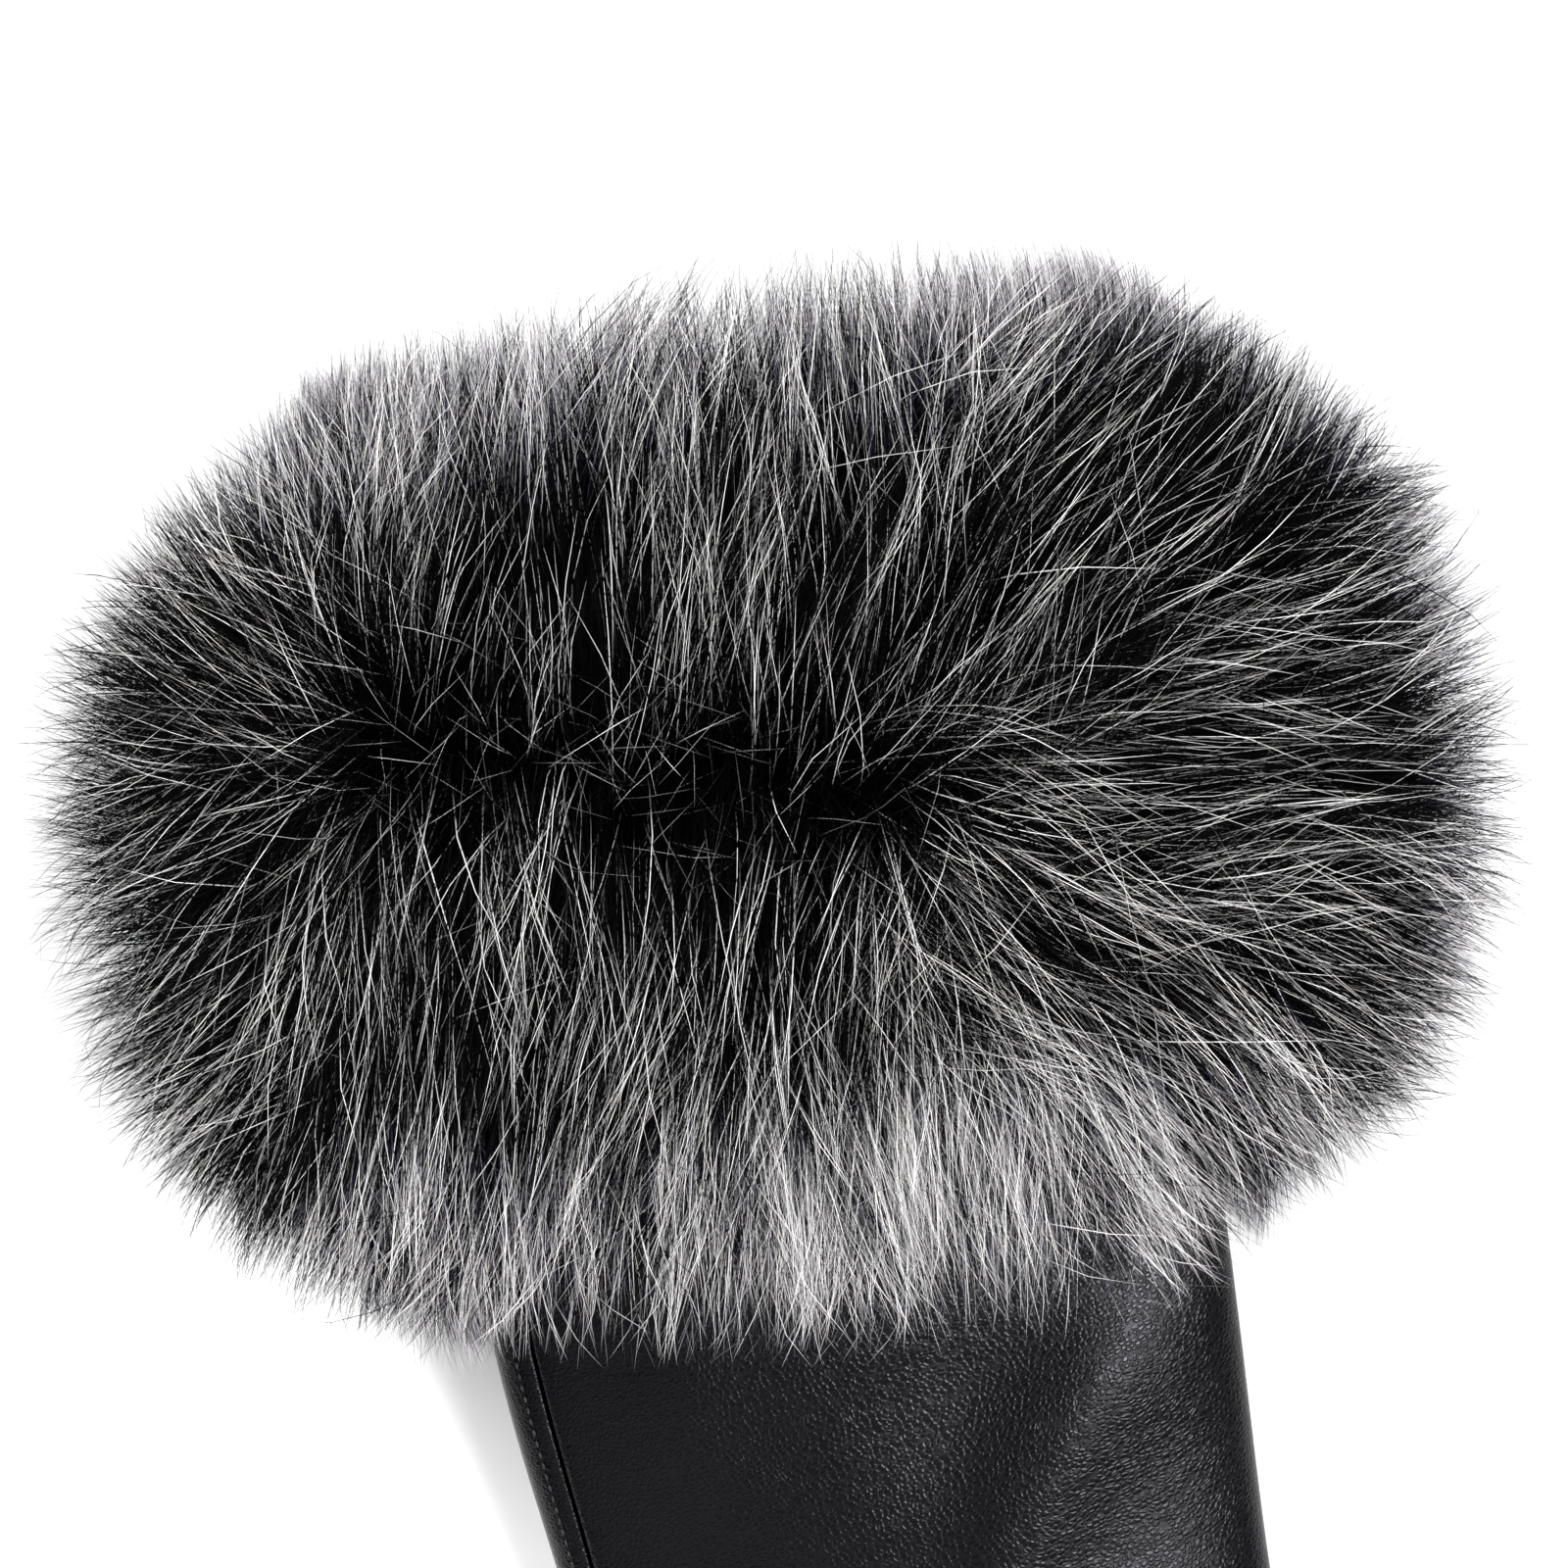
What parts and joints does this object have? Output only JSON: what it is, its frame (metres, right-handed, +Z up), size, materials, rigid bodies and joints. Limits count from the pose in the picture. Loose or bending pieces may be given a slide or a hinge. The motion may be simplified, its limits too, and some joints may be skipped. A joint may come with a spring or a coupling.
{
  "type": "fur-trimmed glove",
  "caption": "Right-hand leather dress glove with a deep long-haired fur cuff, hollow for the hand and fingers, lying palm down.",
  "frame": {"origin": "middle of the palm's flat underside, where the glove rests on the surface", "axes": "+X to the thumb's side, +Y from the hand to the wrist opening, +Z up out of the back of the hand"},
  "size_m": [0.1904, 0.34, 0.0838],
  "materials": {
    "black_leather": "fine-grained lambskin, satin",
    "silver_fur": "long fox-like fur, dark slate base with pale silver tips"
  },
  "bodies": {
    "root": {"back_panel": "black_leather", "palm_panel": "black_leather", "fourchette_ring_little": "black_leather", "fourchette_middle_ring": "black_leather", "fourchette_index_middle": "black_leather", "thumb": "black_leather", "fur_cuff": "silver_fur"}
  },
  "joints": []
}
